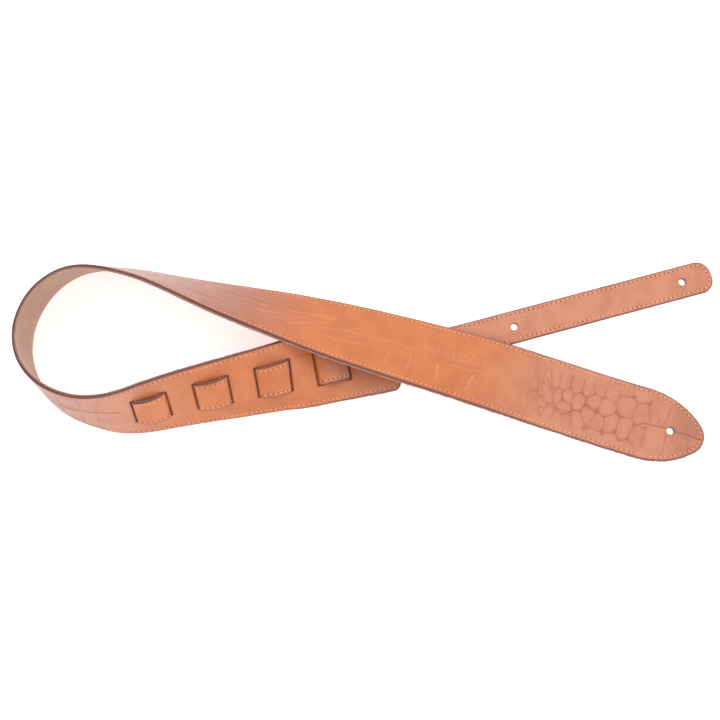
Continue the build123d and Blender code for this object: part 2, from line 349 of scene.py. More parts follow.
# Single creases in millimetres: (along, across) where they start and end, and a depth.
CREASES = (
    ((2, -1), (26, 0), 0.9), ((34, -1), (48, -1), 1.0), ((48, -1), (64, 4), 1.0),
    ((36, -21), (35, -4), 0.8), ((52, 9), (51, 23), 0.8), ((32, 5), (33, 22), 0.8),
    ((13, 2), (12, 14), 0.8), ((40, -8), (40, -2), 0.7), ((43, -8), (43, -2), 0.7),
    ((53, -18), (49, -3), 0.8), ((8, -8), (9, -2), 0.6), ((17, -11), (18, -4), 0.4),
    ((146, -13), (138, 0), 0.9), ((143, -13), (134, -1), 0.8), ((133, 9), (134, 16), 0.6),
    ((120, 9), (150, 16), 0.8), ((155, -11), (146, 2), 0.7), ((176, 3), (178, 12), 0.7),
    ((180, -2), (180, 13), 0.6), ((184, -3), (186, 14), 0.5), ((242, 6), (240, 21), 0.9),
    ((211, 5), (213, 22), 0.9), ((181, -2), (212, 3), 0.4), ((212, 3), (232, 4), 0.6),
    ((188, -9), (190, -2), 0.6), ((193, -9), (195, -3), 0.6), ((199, -10), (200, -4), 0.6),
    ((204, -11), (205, -5), 0.6), ((209, -11), (210, -6), 0.5), ((213, -12), (215, -5), 0.6),
    ((220, -10), (221, -5), 0.5), ((225, -10), (226, -5), 0.6), ((231, -10), (232, -5), 0.5),
    ((236, -10), (237, -5), 0.5), ((245, -10), (246, -6), 0.5), ((250, -9), (252, -5), 0.6),
    ((256, -9), (257, -4), 0.6), ((262, -8), (263, -4), 0.5), ((190, -3), (262, -5), 0.4),
    ((268, -2), (300, -2), 0.5), ((267, 5), (268, 20), 0.6), ((287, 5), (288, 20), 0.6),
    ((300, -2), (324, -1), 0.5), ((324, -1), (353, 4), 0.5), ((338, -11), (382, -8), 0.6),
    ((353, 0), (380, 9), 0.5), ((305, 8), (345, 11), 0.4), ((392, -14), (440, -17), 0.5),
    ((384, -2), (412, 5), 0.5), ((400, -6), (452, -12), 0.5), ((436, 4), (470, -4), 0.4),
    ((430, 12), (480, 10), 0.4), ((460, -14), (500, -16), 0.5), ((478, -8), (480, 12), 0.4),
    ((506, -20), (500, 4), 0.5), ((500, 4), (545, -6), 0.5), ((512, -10), (560, 2), 0.4),
    ((530, -22), (533, 6), 0.4), ((689, -10), (716, -1), 1.0), ((716, -1), (738, 4), 1.0),
    ((738, 4), (772, 3), 1.0), ((720, -26), (722, 24), 0.9), ((737, -24), (740, 22), 0.8),
    ((752, -18), (754, 24), 0.7), ((700, -14), (738, 2), 0.8), ((705, 8), (760, 10), 0.5),
    ((760, -24), (764, 0), 0.4), ((746, 3), (748, 20), 0.4),
)


def crease_at(s, u):
    """How deep the crocodile creases are pressed at each place, from 0 to 1."""
    bent_s = s + 0.0007 * lattice_noise(s, u, 0.006, 3)
    bent_u = u + 0.0007 * lattice_noise(s, u, 0.006, 4)
    depth = np.zeros(s.shape)
    near = np.flatnonzero(s.ravel() < CROC_END)
    seeds = np.array(SCALES) * 0.001
    ps, pu = bent_s.ravel()[near], bent_u.ravel()[near]
    seeds[:, 1] *= SCALE_SQUASH
    away_s = ps[:, None] - seeds[None, :, 0]
    apart = np.hypot(away_s, SCALE_SQUASH * pu[:, None] - seeds[None, :, 1])
    nearest = np.argsort(apart, axis=1)[:, :4]
    own = np.take_along_axis(apart, nearest, axis=1)
    between = np.linalg.norm(seeds[nearest[:, 1:]] - seeds[nearest[:, :1]], axis=2)
    edges = (own[:, 1:] ** 2 - own[:, :1] ** 2) / (2 * between)
    round_off = 0.0011
    edge = -round_off * np.log(np.exp(-edges / round_off).sum(axis=1))
    pressed = 1 - ease((edge + 0.0002) / 0.0011)
    pillow = 0.30 * np.exp(-np.maximum(edge, 0) / 0.0016)
    strength = 0.90 + 0.40 * lattice_noise(ps, pu, 0.011, 5)
    zone = band(ps, 0.053, 0.150, 0.008) + 0.55 * band(ps, 0.150, 0.183, 0.010)
    zone = np.minimum(zone, 1) * band(pu, -0.0210, 0.0220, 0.003)
    depth.ravel()[near] = np.maximum(pressed, pillow) * strength * zone
    for start, end, strength in CREASES:
        s1, u1, s2, u2 = (0.001 * v for v in start + end)
        length = math.hypot(s2 - s1, u2 - u1)
        ds, du = (s2 - s1) / length, (u2 - u1) / length
        t = (bent_s - s1) * ds + (bent_u - u1) * du
        off = (bent_s - s1) * du - (bent_u - u1) * ds
        off = off + 0.0007 * np.sin(t / 0.006 + 900 * s1)
        ends = band(t, 0.001, length - 0.001, 0.002)
        depth = np.maximum(depth, strength * ends * np.exp(-((off / 0.00068) ** 2)))
    return np.clip(depth, 0, 1)


def rounded_drop(inside, radius):
    """How much an edge of this radius falls away at a distance inside the outline."""
    x = np.clip(radius - inside, 0, radius)
    return radius - np.sqrt(radius * radius - x * x)


def hole_ring(s, u, at):
    away = np.maximum(np.hypot(s - at, u) - HOLE / 2, 0)
    return rounded_drop(away, HOLE_ROUND) + 0.00018 * np.exp(-away / 0.0012)


def slot_rim(s, u):
    """How much the leather folds down into each slot."""
    drop = np.zeros(s.shape)
    for at in slot_places():
        away_s = np.maximum(np.abs(s - at) - SLOT_DRAWN / 2, 0)
        away_u = np.maximum(np.abs(u) - SLOT_DRAWN_HALF, 0)
        away = np.hypot(away_s, away_u)
        drop = np.maximum(drop, rounded_drop(away, SLOT_ROUND))
    return drop


def band_bulge(s, u):
    """The bands between the windows are pushed up a little by the tail under them."""
    lift = np.zeros(s.shape)
    slots = slot_places()
    for before, after in zip(slots[1:-1:2], slots[2::2]):
        lift += band(s, before + 0.010, after - 0.010, 0.008)
    return 0.0005 * lift * band(np.abs(u), -1, 0.0135, 0.003)


def seam_dip(inside):
    return SEAM_DEPTH * np.exp(-(((inside - SEAM_INSET) / 0.0009) ** 2))


def main_top_relief(s, u):
    inside = main_inside(s, u)
    height = -rounded_drop(inside, MAIN_EDGE_ROUND) - seam_dip(inside)
    height -= hole_ring(s, u, FRONT_HOLE_AT) + slot_rim(s, u)
    height -= CREASE_DEPTH * crease_at(s, u)
    height += band_bulge(s, u)
    height -= 0.00035 * band(s, 0.005, 0.058, 0.006) * np.exp(-((u / 0.0022) ** 2))
    height += 0.00016 * lattice_noise(s, u, 0.017, 11)
    return height


def main_low_relief(s, u):
    inside = main_inside(s, u)
    return rounded_drop(inside, 0.0005) + 0.5 * seam_dip(inside)


# ---- meshes ----------------------------------------------------------------
def columns(half, inner):
    """Places across the strap: close together by the edges, even between."""
    # The last of these is EDGE_COLUMNS.
    close = np.array([0, 0.25, 0.6, 1.1, 1.8, 2.6, 3.0, 3.4, 3.8, 4.4, 5.2]) * 0.001
    squeeze = np.minimum(half / 0.012, 1)[:, None]
    edge = half[:, None] - close * squeeze
    reach = edge[:, -1:]
    middle = reach * inner[None, 1:-1]
    return np.concatenate([-edge, middle, edge[:, ::-1]], axis=1)


def open_round(s, u, at, keep):
    """Move the grid round a button hole onto its circle, and open the cells inside it."""
    inside = np.maximum(np.abs(s - at), np.abs(u)) < HOLE / 2 * 0.92
    i = np.flatnonzero(inside.any(axis=1))
    j = np.flatnonzero(inside.any(axis=0))
    low_i, high_i, low_j, high_j = i[0], i[-1], j[0], j[-1]
    rows = np.arange(s.shape[0])[:, None]
    cols = np.arange(s.shape[1])[None, :]
    ring_i = np.maximum(low_i - rows, rows - high_i)
    ring_j = np.maximum(low_j - cols, cols - high_j)
    ring = np.maximum(np.maximum(ring_i, ring_j), 0)
    hold = ease(ring / 5)
    away = np.hypot(s - at, u) + 1e-9
    round_s = at + (s - at) / away * HOLE / 2
    round_u = u / away * HOLE / 2
    s[:] = s * hold + round_s * (1 - hold)
    u[:] = u * hold + round_u * (1 - hold)
    keep[low_i:high_i, low_j:high_j] = False


def open_slots(s, u, keep):
    middle_s = (s[1:, 1:] + s[:-1, :-1]) / 2
    middle_u = (u[1:, 1:] + u[:-1, :-1]) / 2
    for at in slot_places():
        in_s = np.abs(middle_s - at) < SLOT_DRAWN / 2
        in_u = np.abs(middle_u) < SLOT_DRAWN_HALF
        keep[in_s & in_u] = False


def make_mesh(name, points, faces):
    """A smooth-shaded mesh whose faces all have the same number of corners."""
    mesh = bpy.data.meshes.new(name)
    mesh.vertices.add(len(points))
    mesh.vertices.foreach_set("co", np.asarray(points, np.float32).ravel())
    count, corners = faces.shape
    mesh.loops.add(faces.size)
    mesh.loops.foreach_set("vertex_index", faces.ravel().astype(np.int32))
    mesh.polygons.add(count)
    starts = np.arange(count, dtype=np.int32) * corners
    mesh.polygons.foreach_set("loop_start", starts)
    mesh.polygons.foreach_set("loop_total", np.full(count, corners, np.int32))
    mesh.update(calc_edges=True)
    mesh.validate()
    mesh.polygons.foreach_set("use_smooth", np.full(count, True))
    obj = bpy.data.objects.new(name, mesh)
    bpy.context.scene.collection.objects.link(obj)
    return obj


def store(obj, name, values):
    """Keep a number or a vector at every vertex, for the shaders to read."""
    values = np.asarray(values, np.float32)
    kind, key = ("FLOAT_VECTOR", "vector") if values.ndim == 2 else ("FLOAT", "value")
    layer = obj.data.attributes.new(name, kind, "POINT")
    layer.data.foreach_set(key, values.ravel())


def ply(name, strap, s, u, keep, low, high, low_relief, top_relief, marks):
    """One closed ply of leather from a grid of places, open wherever keep is False."""
    top = strap.place(s, u, high + top_relief)
    bottom = strap.place(s, u, low + low_relief)
    rows, cols = s.shape
    index = np.arange(rows * cols).reshape(rows, cols)
    below = index + rows * cols
    corners = [index[:-1, :-1], index[1:, :-1], index[1:, 1:], index[:-1, 1:]]
    quads = np.stack(corners, axis=-1)
    top_faces = quads[keep]
    bottom_faces = top_faces[:, ::-1] + rows * cols
    padded = np.pad(keep, 1)
    walls = []
    left, right = padded[1:-1, :-1], padded[1:-1, 1:]
    a, b = index[:-1, :], index[1:, :]
    for chosen, turn in ((right & ~left, False), (left & ~right, True)):
        p, q = (a[chosen], b[chosen]) if turn else (b[chosen], a[chosen])
        walls.append(np.stack([p, q, q + rows * cols, p + rows * cols], axis=-1))
    before, after = padded[:-1, 1:-1], padded[1:, 1:-1]
    a, b = index[:, :-1], index[:, 1:]
    for chosen, turn in ((after & ~before, False), (before & ~after, True)):
        p, q = (b[chosen], a[chosen]) if turn else (a[chosen], b[chosen])
        walls.append(np.stack([p, q, q + rows * cols, p + rows * cols], axis=-1))
    walls = np.concatenate(walls)
    faces = np.concatenate([top_faces, walls, bottom_faces])
    kinds = np.repeat([0, 1, 2], [len(top_faces), len(walls), len(bottom_faces)])
    used, packed = np.unique(faces, return_inverse=True)
    points = np.concatenate([top.reshape(-1, 3), bottom.reshape(-1, 3)])[used]
    obj = make_mesh(name, points, packed.reshape(faces.shape))
    obj.data.polygons.foreach_set("material_index", kinds.astype(np.int32))
    flat = np.stack([s, u, 0 * s + high], axis=-1).reshape(-1, 3)
    flat_low = np.stack([s, u, 0 * s + low], axis=-1).reshape(-1, 3)
    store(obj, "lie", np.concatenate([flat, flat_low])[used])
    for mark, values in marks.items():
        store(obj, mark, np.concatenate([values.ravel(), values.ravel()])[used])
    obj.data.set_sharp_from_angle(angle=math.radians(50))
    return obj


def main_grid(fine):
    """Rows and columns of the main strap, with lines on every slot's sides."""
    tip = FRONT_TIP_RADIUS * (1 - np.cos(np.linspace(0, math.pi / 2, 26)[:-1]))
    stops = [FRONT_TIP_RADIUS, 0.285]
    for at in slot_places():
        stops += [at - SLOT_DRAWN / 2, at + SLOT_DRAWN / 2]
    stops += [MAIN_LENGTH - REAR_CORNER]
    steps = [0.0006 * fine] + [0.0014 * fine] * (len(stops) - 2)
    rows = [tip]
    for a, b, step in zip(stops[:-1], stops[1:], steps):
        rows.append(np.linspace(a, b, max(int((b - a) / step), 3), endpoint=False))
    corner = MAIN_LENGTH - REAR_CORNER * (1 - np.sin(np.linspace(0, math.pi / 2, 12)))
    s = np.concatenate(rows + [corner])
    slot_half = SLOT_DRAWN_HALF / (MAIN_WIDTH / 2 - EDGE_COLUMNS)
    side = np.linspace(1, slot_half, int(18 / fine))
    centre = np.linspace(slot_half, -slot_half, int(50 / fine))
    inner = np.concatenate([-side, -centre[1:-1], side[::-1]])
    u = columns(main_half(s), inner)
    return np.repeat(s[:, None], u.shape[1], axis=1), u


def main_tone_and_sheen(s):
    """How orange the leather is: pinker at the front end and in the loop, partly as painted
    sheen.
    """
    return band(s, 0.225, 0.400, 0.10) + 0.9 * band(s, 0.84, 0.93, 0.09)


def make_main_face(main):
    s, u = main_grid(1)
    keep = np.ones((s.shape[0] - 1, s.shape[1] - 1), bool)
    open_slots(s, u, keep)
    open_round(s, u, FRONT_HOLE_AT, keep)
    inside = main_inside(s, u)
    marks = {
        "inside": inside,
        "crease": crease_at(s, u),
        "rim": hole_ring(s, u, FRONT_HOLE_AT) / HOLE_ROUND + slot_rim(s, u) / SLOT_ROUND,
        "tone_and_sheen": main_tone_and_sheen(s) + 0 * u,
        "shade": band(s, 0.440, 0.690, 0.10) + 0.45 * band(s, -1, 0.016, 0.02) + 0 * u,
    }
    relief = main_top_relief(s, u)
    low = 0 * s + PLY_GAP
    return ply(
        "main_leather_face", main, s, u, keep, MAIN_LINING, MAIN_THICK, low, relief, marks
    )


def make_main_lining(main):
    s, u = main_grid(1.6)
    keep = np.ones((s.shape[0] - 1, s.shape[1] - 1), bool)
    open_slots(s, u, keep)
    open_round(s, u, FRONT_HOLE_AT, keep)
    inside = main_inside(s, u)
    ragged = 0.00025 * lattice_noise(s, np.sign(u), 0.002, 21)
    ragged += 0.00025 * lattice_noise(s, np.sign(u), 0.006, 22)
    spread = 0.0002 + 0.0005 * band(s, 0.20, 0.50, 0.05) * (u > 0)
    wide = np.where(inside < 0.0012, u + np.sign(u) * (spread + ragged), u)
    marks = {"inside": inside}
    low = main_low_relief(s, u)
    top = -PLY_GAP - rounded_drop(inside, 0.0003)
    return ply("main_suede_lining", main, s, wide, keep, 0.0, MAIN_LINING, low, top, marks)


def tail_grid(tail, fine):
    corner_start = tail.length - TAIL_CORNER
    count = int(corner_start / (0.0009 * fine))
    body = np.linspace(0, corner_start, count, endpoint=False)
    corner = tail.length - TAIL_CORNER * (1 - np.sin(np.linspace(0, math.pi / 2, 22)))
    s = np.concatenate([body, corner])
    u = columns(tail_half(tail, s), np.linspace(-1, 1, int(26 / fine)))
    return np.repeat(s[:, None], u.shape[1], axis=1), u


def tail_holes(tail):
    return tail.length - TAIL_HOLE_AT, tail.length - TAIL_HOLE_AT - TAIL_HOLE_PITCH


def make_tail_ply(name, tail, fine, low, high, is_face):
    s, u = tail_grid(tail, fine)
    keep = np.ones((s.shape[0] - 1, s.shape[1] - 1), bool)
    for at in tail_holes(tail):
        open_round(s, u, at, keep)
    inside = tail_inside(tail, s, u)
    rims = sum(hole_ring(s, u, at) for at in tail_holes(tail))
    # The free tail's pinker colour is partly its own tone and partly painted sheen.
    woven = ease((TAIL_ORANGE_END - s) / 0.03)
    marks = {
        "inside": inside,
        "crease": 0 * s,
        "rim": rims / HOLE_ROUND,
        "tone_and_sheen": woven,
        "shade": 0 * s,
    }
    if is_face:
        top = -rounded_drop(inside, TAIL_EDGE_ROUND) - seam_dip(inside) - rims
        top += 0.00008 * lattice_noise(s, u, 0.012, 31)
        return ply(name, tail, s, u, keep, low, high, 0 * s + 0.0001, top, marks)
    bottom = rounded_drop(inside, 0.0004) + 0.5 * seam_dip(inside)
    top = -0.0001 - rounded_drop(inside, 0.0003)
    return ply(name, tail, s, u, keep, low, high, bottom, top, marks)


# ---- seams -----------------------------------------------------------------
def main_seam():
    """The closed seam line of the main strap, as places (along, across)."""
    sweep = 1 - np.cos(np.linspace(0, math.pi / 2, 60))
    tip = SEAM_INSET + (FRONT_TIP_RADIUS - SEAM_INSET) * sweep
    body = np.arange(FRONT_TIP_RADIUS, MAIN_LENGTH - REAR_CORNER, 0.001)[1:]
    turn = np.sin(np.linspace(0, math.pi / 2, 20))
    corner = MAIN_LENGTH - REAR_CORNER + (REAR_CORNER - SEAM_INSET) * turn
    s = np.concatenate([tip, body, corner])
    u = main_half(s, SEAM_INSET)
    cross = np.linspace(u[-1], -u[-1], 30)[1:-1]
    there = np.stack([s, u], axis=1)
    end = np.stack([0 * cross + s[-1], cross], axis=1)
    back = np.stack([s, -u], axis=1)[::-1]
    return np.concatenate([there, end, back])


def tail_seam(tail):
    body = np.arange(0.001, tail.length - TAIL_CORNER, 0.001)
    turn = np.sin(np.linspace(0, math.pi / 2, 30))
    corner = tail.length - TAIL_CORNER + (TAIL_CORNER - SEAM_INSET) * turn
    s = np.concatenate([body, corner])
    u = tail_half(tail, s, SEAM_INSET)
    return np.concatenate([np.stack([s, u], axis=1), np.stack([s, -u], axis=1)[::-1]])


def even_places(line, pitch, offset):
    """Evenly spaced places on a line, with the direction it runs in."""
    steps = np.linalg.norm(np.diff(line, axis=0), axis=1)
    run = np.concatenate([[0], np.cumsum(steps)])
    count = int(run[-1] / pitch)
    at = (np.arange(count) + offset) * run[-1] / count
    here = np.stack([np.interp(at, run, line[:, k]) for k in range(2)], axis=1)
    ahead = np.stack([np.interp(at + 0.0005, run, line[:, k]) for k in range(2)], axis=1)
    behind = np.stack([np.interp(at - 0.0005, run, line[:, k]) for k in range(2)], axis=1)
    return here, unit(ahead - behind)


def stitch_shape():
    """One stitch: a thread that dives into the leather at both ends."""
    around = np.linspace(0, 2 * math.pi, 9)[:-1]
    points = []
    for t in np.linspace(-1, 1, 9):
        bow = 1 - t ** 4
        width = THREAD_WIDTH / 2 * (0.72 + 0.28 * bow)
        centre = THREAD_HEIGHT * (bow - 0.75)
        for angle in around:
            tall = THREAD_HEIGHT * 0.55 * math.sin(angle)
            points.append((t * STITCH_LENGTH / 2, width * math.cos(angle), centre + tall))
    faces = []
    for ring in range(8):
        for k in range(8):
            a, b = ring * 8 + k, ring * 8 + (k + 1) % 8
            faces.append((a, b, b + 8, a + 8))
    return np.array(points), np.array(faces)


def make_stitches(name, strap, line, level, side, seed):
    """A row of stitches on a strap's face (side 1) or its underside (side -1)."""
    here, ahead = even_places(line, STITCH_PITCH, 0.5)
    rng = np.random.default_rng(seed)
    slant = math.radians(5) + rng.normal(0, math.radians(2.2), len(here))
    turned_s = ahead[:, 0] * np.cos(slant) - ahead[:, 1] * np.sin(slant)
    turned_u = ahead[:, 0] * np.sin(slant) + ahead[:, 1] * np.cos(slant)
    shape, faces = stitch_shape()
    size = rng.uniform(0.93, 1.06, len(here))[:, None]
    x, y, z = shape[:, 0] * size, shape[:, 1] * size, shape[:, 2] * np.ones_like(size)
    s = here[:, :1] + x * turned_s[:, None] - y * turned_u[:, None]
    u = here[:, 1:] + x * turned_u[:, None] + y * turned_s[:, None]
    points = strap.place(s, u, level + side * z).reshape(-1, 3)
    first = (np.arange(len(here)) * len(shape))[:, None, None]
    quads = (faces[None] + first).reshape(-1, 4)
    if side > 0:
        quads = quads[:, ::-1]
    obj = make_mesh(name, points, quads)
    local = np.stack([x, y, z + 0.01 * rng.uniform(0, 1, size.shape)], axis=-1)
    store(obj, "lie", local.reshape(-1, 3))
    return obj


def make_stitch_holes(name, strap, line, level, size):
    """The small dark holes that the thread goes down through, as flat discs whose darkness
    is partly the cut leather's colour and partly painted shade.
    """
    here, ahead = even_places(line, STITCH_PITCH, 0.0)
    around = np.linspace(0, 2 * math.pi, 11)[:-1]
    x, y = size * np.cos(around), 0.65 * size * np.sin(around)
    s = here[:, :1] + x * ahead[:, :1] - y * ahead[:, 1:]
    u = here[:, 1:] + x * ahead[:, 1:] + y * ahead[:, :1]
    points = strap.place(s, u, level + 0 * s).reshape(-1, 3)
    first = (np.arange(len(here)) * 10)[:, None]
    return make_mesh(name, points, np.arange(10)[None] + first)


# ---- loose fibres ----------------------------------------------------------
def make_fibres(name, strap, half, spans, seed):
    """Fine suede fibres that stick out past the edges of the lining."""
    rng = np.random.default_rng(seed)
    points, faces = [], []
    for start, stop, side, count in spans:
        at = rng.uniform(start, stop, count)
        for s in at:
            edge = float(half(np.array(s))) - 0.0002
            slope = float(half(np.array(s + 0.001)) - half(np.array(s - 0.001))) / 0.002
            away = np.array([-slope, 1.0]) / math.hypot(slope, 1)
            lean = rng.normal(0, 0.7)
            ds = away[0] * math.cos(lean) - away[1] * math.sin(lean)
            du = away[0] * math.sin(lean) + away[1] * math.cos(lean)
            length = rng.gamma(2.4, 0.00055)
            n = rng.uniform(0.0003, 0.0019)
            thick = rng.uniform(0.00012, 0.00026)
            curl = rng.normal(0, 0.5)
            first = len(points)
            for k in range(4):
                t = k / 3
                a = ds * math.cos(curl * t) - du * math.sin(curl * t)
                b = ds * math.sin(curl * t) + du * math.cos(curl * t)
                here_s = s + a * length * t
                here_u = edge + b * length * t
                w = thick * (1 - 0.8 * t)
                for p, q in ((w, 0.0), (-w / 2, w), (-w / 2, -w)):
                    points.append((here_s + p, side * here_u, n + q - 0.0002 * t))
            for k in range(3):
                for m in range(3):
                    a, b = first + 3 * k + m, first + 3 * k + (m + 1) % 3
                    faces.append((a, b, b + 3, a + 3))
    places = np.array(points)
    low = strap.place(places[:, 0], places[:, 1], places[:, 2])
    low[:, 2] = np.maximum(low[:, 2], 0.0001)
    return make_mesh(name, low, np.array(faces))


# ---- materials -------------------------------------------------------------
class Shader:
    """A material whose nodes are added one by one, inputs given by name."""

    def __init__(self, name):
        self.material = bpy.data.materials.new(name)
        self.material.use_nodes = True
        self.tree = self.material.node_tree
        self.surface = self.tree.nodes["Principled BSDF"]

    def add(self, kind, inputs, out=0, **settings):
        node = self.tree.nodes.new("ShaderNode" + kind)
        for key, value in settings.items():
            setattr(node, key, value)
        for key, value in inputs.items():
            self.put(node.inputs[key], value)
        return node.outputs[out]

    def put(self, socket, value):
        if isinstance(value, bpy.types.NodeSocket):
            self.tree.links.new(value, socket)
        else:
            socket.default_value = value

    def set(self, **inputs):
        for key, value in inputs.items():
            self.put(self.surface.inputs[key.replace("_", " ")], value)

    def attribute(self, name, out):
        node = self.tree.nodes.new("ShaderNodeAttribute")
        node.attribute_name = name
        return node.outputs[out]

    def math(self, operation, a, b, c=0.0):
        return self.add("Math", {0: a, 1: b, 2: c}, operation=operation)

    def ramp(self, value, low, high):
        inputs = {"Value": value, "From Min": low, "From Max": high}
        return self.add("MapRange", inputs, interpolation_type="SMOOTHSTEP")

    def noise(self, where, scale, detail=2.0, rough=0.5):
        inputs = {"Vector": where, "Scale": scale, "Detail": detail, "Roughness": rough}
        return self.add("TexNoise", inputs)

    def mix(self, factor, a, b):
        node = self.tree.nodes.new("ShaderNodeMix")
        node.data_type = "RGBA"
        self.put(node.inputs[0], factor)
        self.put(node.inputs[6], a)
        self.put(node.inputs[7], b)
        return node.outputs[2]


def colour(red, green, blue):
    """A colour given as it looks on a screen, 0 to 255, as the shader wants it."""
    def light(v):
        v /= 255
        return v / 12.92 if v <= 0.04045 else ((v + 0.055) / 1.055) ** 2.4
    return (light(red), light(green), light(blue), 1.0)


def leather_face(name, middle, ends, dark, rough):
    m = Shader(name)
    lie = m.attribute("lie", "Vector")
    tone_and_sheen = m.attribute("tone_and_sheen", "Fac")
    crease = m.attribute("crease", "Fac")
    inside = m.attribute("inside", "Fac")
    rim = m.attribute("rim", "Fac")
    # Orange to pinkish: partly the leather's own tone, partly painted sheen on the pinker
    # parts.
    base = m.mix(tone_and_sheen, ends, middle)
    shade = m.attribute("shade", "Fac")
    base = m.mix(m.math("MULTIPLY", shade, 0.62), base, SHADED_LEATHER)
    blotch = m.ramp(m.noise(lie, 55, 4, 0.6), 0.38, 0.66)
    base = m.mix(m.math("MULTIPLY", blotch, 0.22), base, dark)
    fine = m.ramp(m.noise(lie, 900, 3, 0.65), 0.42, 0.72)
    base = m.mix(m.math("MULTIPLY", fine, 0.16), base, dark)
    # Creases get painted colour: dark as painted shade, and pale as painted highlight where
    # the leather is orange.
    crease_shade_and_highlight = m.mix(m.math("MULTIPLY", tone_and_sheen, 0.85), dark, CREASE_HIGHLIGHT)
    base = m.mix(m.math("MULTIPLY", crease, 0.58), base, crease_shade_and_highlight)
    ragged = m.math("MULTIPLY_ADD", m.noise(lie, 260, 2), 0.0008, -0.0004)
    shy = m.math("ADD", inside, ragged)
    worn = m.ramp(shy, 0.0017, 0.0005)
    base = m.mix(m.math("MULTIPLY", worn, 0.88), base, EDGE_BROWN)
    base = m.mix(m.math("MULTIPLY", m.math("MINIMUM", rim, 1.0), 0.75), base, EDGE_BROWN)
    pores = m.add("TexVoronoi", {"Vector": lie, "Scale": 1500.0}, distance="EUCLIDEAN")
    pore = m.ramp(pores, 0.0, 0.5)
    grain = m.noise(lie, 1900, 3, 0.6)
    wrinkle = m.noise(lie, 300, 4, 0.6)
    rough_grain = m.math("MULTIPLY_ADD", grain, 0.35, wrinkle)
    height = m.math("MULTIPLY_ADD", pore, 0.35, rough_grain)
    bump = m.add("Bump", {"Height": height, "Strength": 0.35, "Distance": 0.00035})
    shine = m.math("MULTIPLY_ADD", m.noise(lie, 120, 3, 0.6), 0.20, rough - 0.10)
    shine = m.math("MULTIPLY_ADD", crease, 0.12, shine)
    m.set(Base_Color=base, Roughness=shine, Normal=bump)
    m.set(Sheen_Weight=0.12, Sheen_Roughness=0.4, Coat_Weight=0.10, Coat_Roughness=0.32)
    return m.material


def burnished_edge(name, light, dark):
    m = Shader(name)
    lie = m.attribute("lie", "Vector")
    stretch = m.add("VectorMath", {0: lie, 1: (300.0, 300.0, 2600.0)}, operation="MULTIPLY")
    streak = m.ramp(m.noise(stretch, 1.0, 4, 0.65), 0.35, 0.7)
    base = m.mix(streak, dark, light)
    fibre = m.noise(lie, 2600, 3, 0.7)
    bump = m.add("Bump", {"Height": fibre, "Strength": 0.6, "Distance": 0.0003})
    shine = m.math("MULTIPLY_ADD", streak, 0.25, 0.45)
    m.set(Base_Color=base, Roughness=shine, Normal=bump)
    return m.material


def suede(name, light, dark):
    m = Shader(name)
    lie = m.attribute("lie", "Vector")
    blotch = m.ramp(m.noise(lie, 45, 4, 0.6), 0.3, 0.7)
    brushed = m.add("VectorMath", {0: lie, 1: (500.0, 900.0, 900.0)}, operation="MULTIPLY")
    nap = m.noise(brushed, 1.0, 5, 0.7)
    brushing = m.ramp(nap, 0.3, 0.7)
    shade = m.math("MULTIPLY_ADD", brushing, 0.6, m.math("MULTIPLY", blotch, 0.4))
    base = m.mix(shade, dark, light)
    fine = m.noise(lie, 2400, 4, 0.75)
    height = m.math("ADD", nap, fine)
    bump = m.add("Bump", {"Height": height, "Strength": 0.7, "Distance": 0.0003})
    m.set(Base_Color=base, Normal=bump)
    m.set(Roughness=0.92, Sheen_Weight=0.35, Sheen_Roughness=0.5)
    return m.material


def thread_material(name, light, dark):
    m = Shader(name)
    lie = m.attribute("lie", "Vector")
    twist = {"Vector": lie, "Angle": math.radians(38)}
    turned = m.add("VectorRotate", twist, rotation_type="Z_AXIS")
    wave = {"Vector": turned, "Scale": 520.0, "Distortion": 0.6}
    strand = m.add("TexWave", wave, out=1)
    wear = m.noise(lie, 700, 3, 0.6)
    shade = m.math("MULTIPLY_ADD", strand, 0.6, m.math("MULTIPLY", wear, 0.4))
    base = m.mix(m.ramp(shade, 0.15, 0.75), dark, light)
    bump = m.add("Bump", {"Height": strand, "Strength": 0.5, "Distance": 0.00012})
    m.set(Base_Color=base, Normal=bump, Roughness=0.55)
    m.set(Sheen_Weight=0.25)
    return m.material


# A stitch hole's fill: partly the cut leather's own colour, partly painted shade.
def pierced_hole(name, tint):
    m = Shader(name)
    speckle = m.noise(m.add("NewGeometry", {}), 900, 2)
    m.set(Base_Color=m.mix(speckle, tint, EDGE_BROWN), Roughness=0.8)
    return m.material


EDGE_BROWN = colour(104, 50, 46)
EDGE_DARK = colour(66, 32, 40)
SHADED_LEATHER = colour(130, 73, 59)
# A painted highlight along the creases in the orange stretches.
CREASE_HIGHLIGHT = colour(236, 168, 122)


# ---- floor and light -------------------------------------------------------
def make_studio():
    bpy.ops.mesh.primitive_plane_add(size=6, location=(0, 0, -0.0002))
    floor = bpy.context.object
    floor.name = "floor"
    m = Shader("paper")
    where = m.add("NewGeometry", {})
    base = m.mix(m.noise(where, 3, 2), (0.93, 0.93, 0.93, 1), (0.96, 0.96, 0.96, 1))
    m.set(Base_Color=base, Roughness=0.9)
    m.set(Emission_Color=(1, 1, 1, 1), Emission_Strength=0.50)
    floor.data.materials.append(m.material)
    world = bpy.data.worlds.new("studio")
    world.use_nodes = True
    world.node_tree.nodes["Background"].inputs[0].default_value = (0.97, 0.98, 1.0, 1)
    world.node_tree.nodes["Background"].inputs[1].default_value = 1.02
    bpy.context.scene.world = world
    bpy.context.scene.view_settings.view_transform = "Standard"
    lamp("key", (-0.30, 0.80, 1.35), 0.9, 6, (1.0, 0.985, 0.96))
    lamp("fill", (0.9, -0.7, 1.1), 1.0, 4, (0.97, 0.98, 1.0))


